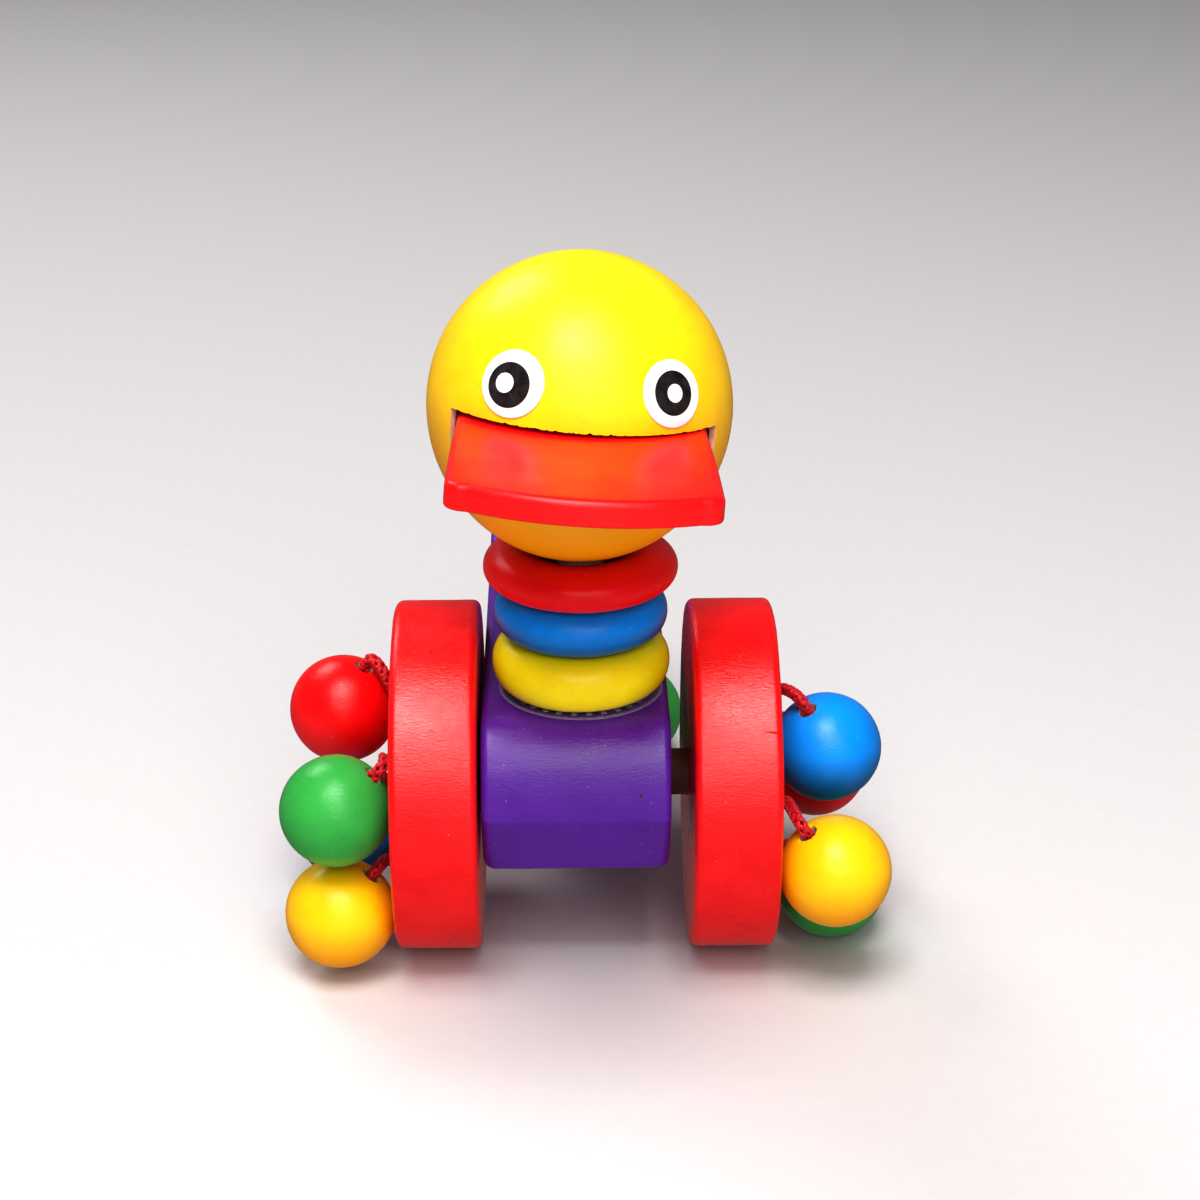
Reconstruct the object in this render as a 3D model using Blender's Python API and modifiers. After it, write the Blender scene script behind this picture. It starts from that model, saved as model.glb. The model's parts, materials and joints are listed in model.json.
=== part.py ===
"""Wooden duck pull-along toy, built as separate pieces.

The duck faces -Y and stands on the plane z = 0. Left means -X and right means +X, as seen from in
front of the beak. The wheels are glued to the front axle and turn in the body's bore. Eight wooden
beads hang on short cords from the wheels' outer faces. The head is glued to the neck dowel, which
turns in the body. Three loose rings sit on the dowel. Two wooden balls carry the tail.
Units are metres.
"""

import math

import bmesh
import bpy
from mathutils import Matrix, Vector
from mathutils.geometry import interpolate_bezier

GAP = 0.0003  # working clearance between pieces that touch or fit together

# Front wheels and axle
AXLE_Y = -0.0089
WHEEL_R = 0.0300
WHEEL_WIDTH = 0.01445
WHEEL_INNER_X = 0.0178
WHEEL_EDGE_R = 0.0013
AXLE_R = 0.0040
WHEEL_OUTER_X = WHEEL_INNER_X + WHEEL_WIDTH

# Body block: sawn from a plank, it has slid to the left by the axle's end float
BODY_X = -0.0016
BODY_HALF_WIDTH = 0.0156
BODY_TOP = 0.0492
BODY_BOTTOM = 0.0217
BODY_EDGE = 0.0012
CHEST_CREASE = (-0.0270, 0.0340)  # y from the axle and z, where the bulging chest meets the facet
CHEST_FOOT = (-0.0205, BODY_BOTTOM)  # the flat facet's lower end

# Neck stack
NECK_X = -0.0006
NECK_Y = AXLE_Y - 0.0072
NECK_R = 0.0040
NECK_FOOT_Z = 0.0365
NECK_TOP_Z = 0.0920
WASHER_R = 0.0138
WASHER_THICKNESS = 0.00035
RING_HOLE_R = 0.0060
RING_FULLNESS = 2.1  # exponent of the ring's section, 2 is an ellipse
RINGS = {  # name: (outer radius, height, centre height)
    "ring_yellow": (0.0148, 0.0094, 0.0547),
    "ring_blue": (0.0144, 0.0081, 0.0637),
    "ring_red": (0.0161, 0.0072, 0.0716),
}

# Head: a ball turned on the dowel's axis, a little deeper below its middle than above it
HEAD_R = 0.0247
HEAD_Z = 0.0994
HEAD_LOWER_STRETCH = 1.055

# The face is cut and stuck on askew: the slot, beak and eyes share these turns of the face's axes
FACE_TILT_UP = math.radians(4.4)
FACE_ROLL = math.radians(5.0)
FACE_YAW = math.radians(1.8)
SLOT_TOP = 0.0012
SLOT_BOTTOM = -0.0056
SLOT_HALF_WIDTH = 0.0207
SLOT_BACK = -0.0080
BEAK_THICKNESS = 0.0041
BEAK_ROOT_WIDTH = 0.0402
BEAK_WAIST_WIDTH = 0.0399
BEAK_FRONT_WIDTH = 0.0404
BEAK_ROOT_Y = -0.0094  # the end glued in the slot, clear of its back wall
BEAK_REACH = 0.0340  # how far the beak stands out of the ball
BEAK_BOW = 0.0044
BEAK_CORNER = 0.0030
BEAK_DROOP = math.radians(0.5)
BEAK_ROLL = math.radians(-0.9)
BEAK_YAW = math.radians(-2.1)
BEAK_PIVOT = Vector((-0.00025, -0.0140, 0.00065))  # a point of the beak's top face inside the slot
EYE_R = 0.0053
EYE_THICKNESS = 0.0003
EYE_AZIMUTHS = {"eye_left": math.radians(-30.5), "eye_right": math.radians(33.1)}
EYE_ELEVATION = math.radians(17.3)

# Beads on cords
BEAD_R = 0.0094
BEAD_HOLE_R = 0.0016
BEAD_HOLE_DEPTH = 0.0085
CORD_R = 0.00115
CORD_ROOT = 0.0050  # glued length inside the wheel
CORD_HOLE_DEPTH = 0.0058
CORD_CIRCLE_R = 0.0150
# name: (clock angle of the cord's hole, bead centre's place from that hole as out, back and up in mm,
#        lean of the bead's own hole towards the wheel and towards the front in degrees,
#        rise of the cord as it leaves the wheel in mm).
# Clock angles run from the front (-Y) over the top.
LEFT_BEADS = {
    "red": (120, (9.9, 3.5, -5.5), (25, 6), 1.8),
    "green": (35, (9.5, -4.7, -7.1), (45, 1), 0.5),
    "yellow": (-55, (9.5, -6.9, -6.3), (37, 3), 0.5),
    "blue": (215, (9.7, -1.3, -7.4), (25, 0), 0.5),
}
RIGHT_BEADS = {
    "blue": (95, (9.6, -1.3, -10.4), (25, 15), 0.5),
    "yellow": (5, (9.5, -6.4, -9.6), (33, 8), 0.5),
    "green": (-85, (10.8, -1.7, -5.6), (40, 10), 0.5),
    "red": (185, (9.6, 4.1, -6.6), (30, 0), 0.5),
}

# Tail support: a keel plate glued in a saw slot, with two balls on one small axle
REAR_AXLE_Y = AXLE_Y + 0.0700
REAR_AXLE_R = 0.0020
REAR_BALL_R = BEAD_R
REAR_BALL_X = 0.0124
KEEL_THICKNESS = 0.0050
KEEL_TOP_Z = 0.0300
KEEL_NOSE_R = 0.0055
KEEL_FRONT_Y = REAR_AXLE_Y - 0.0110
KEEL_BACK_Y = REAR_AXLE_Y + 0.0060

WHEEL_STEPS = 48
RING_STEPS = 32
BEAD_STEPS = 18
DOWEL_STEPS = 20

PAINTS = {
    "yellow_paint": ((0.93, 0.74, 0.02), 0.35),
    "red_paint": ((0.85, 0.01, 0.02), 0.35),
    "blue_paint": ((0.01, 0.20, 0.80), 0.35),
    "green_paint": ((0.06, 0.42, 0.09), 0.35),
    "purple_paint": ((0.13, 0.02, 0.32), 0.35),
    "raw_wood": ((0.55, 0.36, 0.20), 0.7),
    "red_cord": ((0.60, 0.01, 0.04), 0.8),
    "clear_plastic": ((0.85, 0.85, 0.88), 0.2),
    "eye_vinyl": ((0.90, 0.90, 0.90), 0.2),
}


def clear_scene():
    for obj in list(bpy.data.objects):
        bpy.data.objects.remove(obj, do_unlink=True)


def make_collection(name):
    collection = bpy.data.collections.new(name)
    bpy.context.scene.collection.children.link(collection)
    return collection


def make_material(name, colour, roughness):
    material = bpy.data.materials.new(name)
    material.use_nodes = True
    shader = material.node_tree.nodes["Principled BSDF"]
    shader.inputs["Base Color"].default_value = (*colour, 1.0)
    shader.inputs["Roughness"].default_value = roughness
    shader.inputs["Metallic"].default_value = 0.0
    return material


def place(obj, collection, paint=None, parent=None, matrix=None):
    """Link an object, give it its own material and set where it stands."""
    if obj.name not in collection.objects:
        collection.objects.link(obj)
    if paint:
        colour, roughness = PAINTS[paint]
        obj.data.materials.append(make_material(obj.name + "_" + paint, colour, roughness))
    if parent:
        obj.parent = parent
    if matrix:
        obj.matrix_local = matrix
    return obj


def joint_empty(name, location):
    """An empty on a joint's axis, which carries a moving group."""
    empty = bpy.data.objects.new(name, None)
    empty.location = location
    toy.objects.link(empty)
    return empty


def arc_points(centre, radii, start, end, count):
    """Points on an ellipse arc in the plane of the profile, angles in degrees."""
    steps = [math.radians(start + (end - start) * i / (count - 1)) for i in range(count)]
    return [(centre[0] + radii[0] * math.cos(a), centre[1] + radii[1] * math.sin(a)) for a in steps]


def turned(name, profile, steps, closed):
    """A turned solid: a profile of (radius, height) points spun about Z by a Screw modifier."""
    mesh = bpy.data.meshes.new(name)
    points = [(radius, 0, height) for radius, height in profile]
    edges = [(i, i + 1) for i in range(len(points) - 1)]
    if closed:
        edges.append((len(points) - 1, 0))
    mesh.from_pydata(points, edges, [])
    obj = bpy.data.objects.new(name, mesh)
    screw = obj.modifiers.new("turn", "SCREW")
    screw.axis = "Z"
    screw.steps = steps
    screw.render_steps = steps
    screw.use_merge_vertices = True
    screw.merge_threshold = 0.00001
    screw.use_smooth_shade = True
    return obj


def rod(name, radius, length, steps, chamfer=0.0004):
    """A dowel along Z, centred on its origin, with small chamfers."""
    half = length / 2
    profile = [(0, half), (radius - chamfer, half), (radius, half - chamfer)]
    profile += [(radius, chamfer - half), (radius - chamfer, -half), (0, -half)]
    return turned(name, profile, steps, closed=False)


def round_cutter(name, radius, length, matrix):
    """A cylinder along the matrix's Z, centred on its origin, that bores a hole."""
    mesh = bpy.data.meshes.new(name)
    shape = bmesh.new()
    bmesh.ops.create_cone(
        shape, cap_ends=True, segments=16, radius1=radius, radius2=radius, depth=length
    )
    shape.to_mesh(mesh)
    shape.free()
    return as_cutter(bpy.data.objects.new(name, mesh), matrix)


def box_cutter(name, low, high, matrix):
    """A box between two corners of the matrix's own axes."""
    low, high = Vector(low), Vector(high)
    mesh = bpy.data.meshes.new(name)
    shape = bmesh.new()
    bmesh.ops.create_cube(shape, size=1)
    bmesh.ops.scale(shape, vec=high - low, verts=shape.verts)
    bmesh.ops.translate(shape, vec=(high + low) / 2, verts=shape.verts)
    shape.to_mesh(mesh)
    shape.free()
    return as_cutter(bpy.data.objects.new(name, mesh), matrix)


def as_cutter(obj, matrix):
    cutters.objects.link(obj)
    obj.matrix_world = matrix
    obj.hide_render = True
    obj.display_type = "WIRE"
    return obj


def cut(obj, cutter):
    boolean = obj.modifiers.new("cut_" + cutter.name, "BOOLEAN")
    boolean.operation = "DIFFERENCE"
    boolean.solver = "EXACT"
    boolean.object = cutter


def plate(name, outline, thickness, edge):
    """A flat plate from a closed outline in its XY plane, centred on z = 0, with softened edges."""
    curve = bpy.data.curves.new(name + "_outline", "CURVE")
    curve.dimensions = "2D"
    curve.fill_mode = "BOTH"
    curve.extrude = thickness / 2
    spline = curve.splines.new("POLY")
    spline.points.add(len(outline) - 1)
    for point, (x, y) in zip(spline.points, outline):
        point.co = (x, y, 0, 1)
    spline.use_cyclic_u = True
    guide = bpy.data.objects.new(name + "_outline", curve)
    cutters.objects.link(guide)
    bpy.context.view_layer.update()
    evaluated = guide.evaluated_get(bpy.context.evaluated_depsgraph_get())
    mesh = bpy.data.meshes.new_from_object(evaluated)
    bpy.data.objects.remove(guide, do_unlink=True)
    shape = bmesh.new()
    shape.from_mesh(mesh)
    bmesh.ops.remove_doubles(shape, verts=shape.verts, dist=0.00001)
    bmesh.ops.dissolve_limit(
        shape, angle_limit=math.radians(1), verts=shape.verts, edges=shape.edges
    )
    bmesh.ops.recalc_face_normals(shape, faces=shape.faces)
    shape.to_mesh(mesh)
    shape.free()
    mesh.name = name
    obj = bpy.data.objects.new(name, mesh)
    bevel = obj.modifiers.new("soft_edges", "BEVEL")
    bevel.width = edge
    bevel.segments = 2
    bevel.limit_method = "ANGLE"
    bevel.angle_limit = math.radians(50)
    return obj


def along_x(x, y, z):
    """A matrix that lays a piece's Z along world X, at a place."""
    return Matrix.Translation((x, y, z)) @ Matrix.Rotation(math.radians(90), 4, "Y")


def body_outline():
    """The block's side outline as (y, z) from the front axle's foot, front underside first."""
    crease_y, crease_z = CHEST_CREASE
    top_front_y = -0.0178
    chest = arc_points(
        (top_front_y, crease_z), (top_front_y - crease_y, BODY_TOP - crease_z), 180, 90, 8
    )
    back_rise = interpolate_bezier(
        Vector((0.040, BODY_TOP)), Vector((0.058, BODY_TOP)), Vector((0.070, 0.0505)),
        Vector((0.080, 0.0560)), 7,
    )
    tip = arc_points((0.0809, 0.0532), (0.0030, 0.0030), 105, 0, 4)
    stern = interpolate_bezier(
        Vector((0.0838, 0.0510)), Vector((0.0832, 0.0400)), Vector((0.0800, 0.0280)),
        Vector((0.0730, BODY_BOTTOM)), 6,
    )
    back = [tuple(p[:2]) for p in back_rise] + tip + [tuple(p[:2]) for p in stern]
    return chest + back + [CHEST_FOOT]


def make_body():
    body = plate("body_block", body_outline(), 2 * BODY_HALF_WIDTH, BODY_EDGE)
    # The outline's X is the world's Y, and its Y is the world's Z.
    side_on = Matrix(((0, 0, 1), (1, 0, 0), (0, 1, 0))).to_4x4()
    place(body, toy, "purple_paint", matrix=Matrix.Translation((BODY_X, AXLE_Y, 0)) @ side_on)
    cut(body, round_cutter("axle_bore", AXLE_R + GAP, 0.05, along_x(BODY_X, AXLE_Y, WHEEL_R)))
    neck_depth = 0.030
    neck_middle = NECK_FOOT_Z - GAP + neck_depth / 2
    cut(body, round_cutter("neck_bore", NECK_R + GAP, neck_depth,
                           Matrix.Translation((NECK_X, NECK_Y, neck_middle))))
    half = KEEL_THICKNESS / 2 + GAP
    cut(body, box_cutter("keel_slot", (BODY_X - half, KEEL_FRONT_Y - GAP, 0),
                         (BODY_X + half, KEEL_BACK_Y + GAP, KEEL_TOP_Z + GAP), Matrix.Identity(4)))


def make_keel():
    """The plywood plate that carries the rear axle, outlined as (y, z)."""
    nose = arc_points((REAR_AXLE_Y, REAR_BALL_R), (KEEL_NOSE_R, KEEL_NOSE_R), 190, 360, 8)
    outline = [(KEEL_FRONT_Y, KEEL_TOP_Z), (KEEL_FRONT_Y, BODY_BOTTOM - 0.0010)] + nose
    outline += [(KEEL_BACK_Y, BODY_BOTTOM - 0.0040), (KEEL_BACK_Y, KEEL_TOP_Z)]
    keel = plate("rear_keel", outline, KEEL_THICKNESS, 0.0004)
    side_on = Matrix(((0, 0, 1), (1, 0, 0), (0, 1, 0))).to_4x4()
    place(keel, toy, "purple_paint", matrix=Matrix.Translation((BODY_X, 0, 0)) @ side_on)
    cut(keel, round_cutter("rear_bore", REAR_AXLE_R + GAP, 0.02,
                           along_x(BODY_X, REAR_AXLE_Y, REAR_BALL_R)))


def wheel_profile():
    """A disc with rounded rims and a bore, run down its outer side."""
    half, edge = WHEEL_WIDTH / 2, WHEEL_EDGE_R
    bore = AXLE_R + GAP
    top = arc_points((WHEEL_R - edge, half - edge), (edge, edge), 90, 0, 4)
    bottom = arc_points((WHEEL_R - edge, edge - half), (edge, edge), 0, -90, 4)
    return [(bore, half)] + top + bottom + [(bore, -half)]


def cord_hole(side, clock):
    """Where a cord leaves the wheel's outer face."""
    angle = math.radians(clock)
    y = AXLE_Y - CORD_CIRCLE_R * math.cos(angle)
    z = WHEEL_R + CORD_CIRCLE_R * math.sin(angle)
    return Vector((side * WHEEL_OUTER_X, y, z))


def make_wheel(name, side, beads, parent):
    wheel = turned(name, wheel_profile(), WHEEL_STEPS, closed=True)
    middle = side * (WHEEL_INNER_X + WHEEL_WIDTH / 2)
    place(wheel, toy, "red_paint", parent, along_x(middle, 0, 0))
    for colour, (clock, *_) in beads.items():
        hole = cord_hole(side, clock)
        matrix = along_x(*hole)
        cut(wheel, round_cutter(name + "_hole_" + colour, BEAD_HOLE_R, 2 * CORD_HOLE_DEPTH, matrix))


def bead_profile():
    """A ball with a blind hole down from its top pole."""
    rim = math.degrees(math.asin(BEAD_HOLE_R / BEAD_R))
    floor = BEAD_R - BEAD_HOLE_DEPTH
    ball = arc_points((0, 0), (BEAD_R, BEAD_R), 90 - rim, -90, 12)
    ball[-1] = (0, -BEAD_R)
    return [(0, floor), (BEAD_HOLE_R, floor)] + ball


def make_cord(name, parent, root, tip_frame, side, rise):
    """A short cord from inside the wheel, bending over into the bead's hole."""
    inside = tip_frame @ Vector((0, 0, BEAD_R - BEAD_HOLE_DEPTH + 0.0010))
    above = tip_frame @ Vector((0, 0, BEAD_R + 0.0005))
    approach = tip_frame @ Vector((0, 0, BEAD_R + 0.0038))
    leave = Vector((side * 0.0013, 0, 0))
    handle = leave + Vector((side * 0.0008, 0, rise))
    bend = interpolate_bezier(leave, handle, approach, above, 6)
    points = [Vector((-side * root, 0, 0))] + list(bend) + [inside]
    curve = bpy.data.curves.new(name, "CURVE")
    curve.dimensions = "3D"
    curve.bevel_depth = CORD_R
    curve.bevel_resolution = 2
    curve.resolution_u = 1
    curve.render_resolution_u = 0
    curve.use_fill_caps = True
    spline = curve.splines.new("POLY")
    spline.points.add(len(points) - 1)
    for target, point in zip(spline.points, points):
        target.co = (*point, 1)
    place(bpy.data.objects.new(name, curve), toy, "red_cord", parent, Matrix.Identity(4))


def make_bead(side_name, side, colour, spec, parent):
    clock, (out, back, up), (inward, forward), rise = spec
    hole = cord_hole(side, clock)
    empty = joint_empty(f"joint_bead_{side_name}_{colour}", hole - parent.location)
    empty.parent = parent
    centre = Vector((side * out, back, up)) / 1000
    lean = Matrix.Rotation(math.radians(-side * inward), 4, "Y")
    nod = Matrix.Rotation(math.radians(forward), 4, "X")
    frame = Matrix.Translation(centre) @ lean @ nod
    bead = turned(f"bead_{side_name}_{colour}", bead_profile(), BEAD_STEPS, closed=False)
    place(bead, toy, colour + "_paint", empty, frame)
    make_cord(f"cord_{side_name}_{colour}", empty, CORD_ROOT, frame, side, rise / 1000)


def make_front_wheels():
    wheelset = joint_empty("joint_front_axle", (0, AXLE_Y, WHEEL_R))
    axle = rod("front_axle", AXLE_R, 2 * WHEEL_OUTER_X, DOWEL_STEPS)
    place(axle, toy, "raw_wood", wheelset, along_x(0, 0, 0))
    for side_name, side, beads in (("left", -1, LEFT_BEADS), ("right", 1, RIGHT_BEADS)):
        make_wheel(side_name + "_wheel", side, beads, wheelset)
        for colour, spec in beads.items():
            make_bead(side_name, side, colour, spec, wheelset)


def make_rear_wheels():
    empty = joint_empty("joint_rear_axle", (BODY_X, REAR_AXLE_Y, REAR_BALL_R))
    axle = rod("rear_axle", REAR_AXLE_R, 2 * (REAR_BALL_X + REAR_BALL_R) - 0.0012, 12)
    place(axle, toy, "raw_wood", empty, along_x(0, 0, 0))
    bore = REAR_AXLE_R + GAP
    rim = math.degrees(math.asin(bore / REAR_BALL_R))
    profile = arc_points((0, 0), (REAR_BALL_R, REAR_BALL_R), 90 - rim, rim - 90, 12)
    for side_name, side in (("left", -1), ("right", 1)):
        ball = turned(f"rear_ball_{side_name}", profile, BEAD_STEPS, closed=True)
        place(ball, toy, "green_paint", empty, along_x(side * REAR_BALL_X, 0, 0))


def ring_profile(outer, height):
    """A superellipse between the ring's hole and its rim, run down the outer side."""
    middle, half = (outer + RING_HOLE_R) / 2, (outer - RING_HOLE_R) / 2
    count = 12
    points = []
    for i in range(count):
        angle = math.radians(90 - 360 * i / count)
        c, s = math.cos(angle), math.sin(angle)
        x = math.copysign(abs(c) ** (2 / RING_FULLNESS), c)
        z = math.copysign(abs(s) ** (2 / RING_FULLNESS), s)
        points.append((middle + half * x, height / 2 * z))
    return points


def make_neck():
    washer_z = BODY_TOP + 0.0002 + WASHER_THICKNESS / 2
    half, bore = WASHER_THICKNESS / 2, NECK_R + GAP
    profile = [(bore, half), (WASHER_R, half), (WASHER_R, -half), (bore, -half)]
    washer = turned("neck_washer", profile, RING_STEPS, closed=True)
    place(washer, toy, "clear_plastic", matrix=Matrix.Translation((NECK_X, NECK_Y, washer_z)))
    for name, (outer, height, z) in RINGS.items():
        ring = turned(name, ring_profile(outer, height), RING_STEPS, closed=True)
        paint = name.split("_")[1] + "_paint"
        place(ring, toy, paint, matrix=Matrix.Translation((NECK_X, NECK_Y, z)))


def beak_outline():
    """The beak's plan as (x, y) in the head's axes: root, waisted sides, bowed front."""
    front_y = -HEAD_R - BEAK_REACH
    corner_y = front_y + BEAK_BOW
    root, waist, front = BEAK_ROOT_WIDTH / 2, BEAK_WAIST_WIDTH / 2, BEAK_FRONT_WIDTH / 2
    side = interpolate_bezier(
        Vector((waist, -0.0230)), Vector((waist, -0.0300)), Vector((front, -0.0360)),
        Vector((front, corner_y + BEAK_CORNER)), 6,
    )
    turn = arc_points((front - BEAK_CORNER, corner_y + BEAK_CORNER),
                      (BEAK_CORNER, BEAK_CORNER), 0, -75, 4)
    bow_x = front - BEAK_CORNER
    bow = [(bow_x * t, front_y + BEAK_BOW * 0.62 * t * t) for t in (0.75, 0.5, 0.25)]
    half = [(root, BEAK_ROOT_Y), (root, -0.0170)] + [tuple(p[:2]) for p in side] + turn[1:] + bow
    return half + [(0, front_y)] + [(-x, y) for x, y in reversed(half)]


def make_eye(name, azimuth, parent, pose):
    """A thin round sticker, curved to the ball."""
    inner = HEAD_R + 0.0002
    outer = inner + EYE_THICKNESS
    spread = math.degrees(EYE_R / HEAD_R)
    top = arc_points((0, 0), (outer, outer), 90, 90 - spread, 4)
    under = arc_points((0, 0), (inner, inner), 90 - spread, 90, 4)
    top[0], under[-1] = (0, outer), (0, inner)
    eye = turned(name, top + under, 20, closed=False)
    look = Matrix.Rotation(azimuth, 4, "Z") @ Matrix.Rotation(
        math.radians(90) - EYE_ELEVATION, 4, "X"
    )
    place(eye, toy, "eye_vinyl", parent, pose @ look)


def make_head():
    neck = joint_empty("joint_neck", (NECK_X, NECK_Y, HEAD_Z))
    bpy.ops.mesh.primitive_uv_sphere_add(segments=40, ring_count=22, radius=HEAD_R)
    head = bpy.context.object
    head.name = "head_ball"
    for owner in list(head.users_collection):
        owner.objects.unlink(head)
    for vertex in head.data.vertices:
        if vertex.co.z < 0:
            vertex.co.z *= HEAD_LOWER_STRETCH
    place(head, toy, "yellow_paint", neck, Matrix.Identity(4))
    face = (Matrix.Rotation(FACE_YAW, 4, "Z") @ Matrix.Rotation(FACE_ROLL, 4, "Y")
            @ Matrix.Rotation(-FACE_TILT_UP, 4, "X"))
    cut(head, box_cutter("beak_slot", (-SLOT_HALF_WIDTH, -0.04, SLOT_BOTTOM),
                         (SLOT_HALF_WIDTH, SLOT_BACK, SLOT_TOP),
                         Matrix.Translation(neck.location) @ face))
    bore_length = 0.040
    bore_z = NECK_TOP_Z + GAP - bore_length / 2
    cut(head, round_cutter("head_bore", NECK_R + GAP, bore_length,
                           Matrix.Translation((NECK_X, NECK_Y, bore_z))))
    beak = plate("beak", beak_outline(), BEAK_THICKNESS, 0.0010)
    seat = (Matrix.Translation(BEAK_PIVOT) @ Matrix.Rotation(BEAK_YAW, 4, "Z")
            @ Matrix.Rotation(BEAK_ROLL, 4, "Y") @ Matrix.Rotation(BEAK_DROOP, 4, "X")
            @ Matrix.Translation((0, -BEAK_PIVOT.y, -BEAK_THICKNESS / 2)))
    place(beak, toy, "red_paint", neck, face @ seat)
    for name, azimuth in EYE_AZIMUTHS.items():
        make_eye(name, azimuth, neck, face)
    length = NECK_TOP_Z - NECK_FOOT_Z
    dowel = rod("neck_dowel", NECK_R, length, DOWEL_STEPS)
    middle = NECK_FOOT_Z + length / 2 - HEAD_Z
    place(dowel, toy, "raw_wood", neck, Matrix.Translation((0, 0, middle)))


def shade_round():
    """Smooth shading with sharp edges kept, on the pieces whose meshes are their final shape."""
    for obj in toy.objects:
        if obj.type == "MESH" and obj.data.polygons:
            obj.data.shade_smooth()
            obj.data.set_sharp_from_angle(angle=math.radians(35))


clear_scene()
toy = make_collection("duck_pull_along_toy")
cutters = make_collection("cutters")
make_body()
make_keel()
make_front_wheels()
make_rear_wheels()
make_neck()
make_head()
shade_round()
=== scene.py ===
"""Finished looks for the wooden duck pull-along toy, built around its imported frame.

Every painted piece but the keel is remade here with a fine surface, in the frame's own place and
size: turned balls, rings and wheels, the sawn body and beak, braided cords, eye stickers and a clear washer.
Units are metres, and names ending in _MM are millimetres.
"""

import json
import math
import random

import bmesh
import bpy
import numpy as np
from mathutils import Matrix, Vector, noise
from mathutils.geometry import interpolate_bezier


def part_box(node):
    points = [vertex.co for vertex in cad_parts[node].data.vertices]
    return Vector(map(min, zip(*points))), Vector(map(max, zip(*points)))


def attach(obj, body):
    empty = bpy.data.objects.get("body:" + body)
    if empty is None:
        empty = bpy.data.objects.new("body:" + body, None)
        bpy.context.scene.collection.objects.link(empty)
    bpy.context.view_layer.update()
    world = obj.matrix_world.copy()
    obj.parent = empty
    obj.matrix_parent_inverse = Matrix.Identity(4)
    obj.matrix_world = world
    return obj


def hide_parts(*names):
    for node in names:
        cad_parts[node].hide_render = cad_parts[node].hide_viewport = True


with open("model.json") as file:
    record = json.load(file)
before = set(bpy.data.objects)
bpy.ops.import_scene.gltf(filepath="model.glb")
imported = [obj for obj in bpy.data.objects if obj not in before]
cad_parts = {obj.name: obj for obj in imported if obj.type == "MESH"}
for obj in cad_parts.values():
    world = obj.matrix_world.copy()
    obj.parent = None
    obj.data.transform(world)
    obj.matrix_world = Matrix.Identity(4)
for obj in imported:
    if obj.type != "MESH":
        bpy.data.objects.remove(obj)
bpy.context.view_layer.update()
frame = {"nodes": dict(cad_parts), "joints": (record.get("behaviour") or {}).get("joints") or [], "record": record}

MM = 0.001
JOINTS = {joint["name"]: joint for joint in frame["joints"]}
AXLE = Vector(JOINTS["front_wheels_spin"]["pos_m"])
NECK = Vector(JOINTS["head_turn"]["pos_m"])

# The face's own axes, turned on the head, and the mouth and beak inside them
FACE_TILT_UP = math.radians(4.4)
FACE_ROLL = math.radians(5.0)
FACE_YAW = math.radians(1.8)
FACE = (
    Matrix.Translation(NECK)
    @ Matrix.Rotation(FACE_YAW, 4, "Z")
    @ Matrix.Rotation(FACE_ROLL, 4, "Y")
    @ Matrix.Rotation(-FACE_TILT_UP, 4, "X")
)
MOUTH_TOP = 1.2 * MM
MOUTH_BOTTOM = -5.6 * MM
MOUTH_HALF_WIDTH = 20.7 * MM
MOUTH_BACK = -8.0 * MM

DOWEL_BORE = 4.3 * MM  # radius of every hole that an 8 mm dowel turns or sits in
CORD_HOLE = 1.6 * MM

# Camera, at the height and distance of a table-top picture of the toy's front
CAMERA_FROM_AXLE = Vector((-0.0038, -0.4214, 0.2356))  # z is the height over the floor
CAMERA_PITCH = 0.3903
CAMERA_YAW = 0.0155
CAMERA_ROLL = -0.0016
CAMERA_LENS_MM = 81.0

SRGB = {
    "yellow": (253, 216, 24),
    "bead_yellow": (250, 201, 14),
    # a lighter yellow for the rings: painted light against the head's shadow over them
    "lemon_painted_light": (255, 230, 14),
    "red": (236, 6, 16),
    "beak": (240, 10, 16),
    # the next two colours are painted shade, for the flanks and undersides of the yellow and blue paints
    "orange_painted_shade": (245, 168, 6),
    "teal_painted_shade": (0, 92, 150),
    "blue": (2, 146, 240),
    "green": (62, 168, 78),
    "purple": (98, 33, 162),
    "raw_wood": (238, 212, 180),
    "axle": (122, 70, 54),
    "cord": (205, 14, 34),
}


def linear(name):
    """A named colour as linear light."""
    channels = [value / 255 for value in SRGB[name]]
    return tuple(c / 12.92 if c <= 0.04045 else ((c + 0.055) / 1.055) ** 2.4 for c in channels)


# ---------------------------------------------------------------- node helpers


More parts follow.
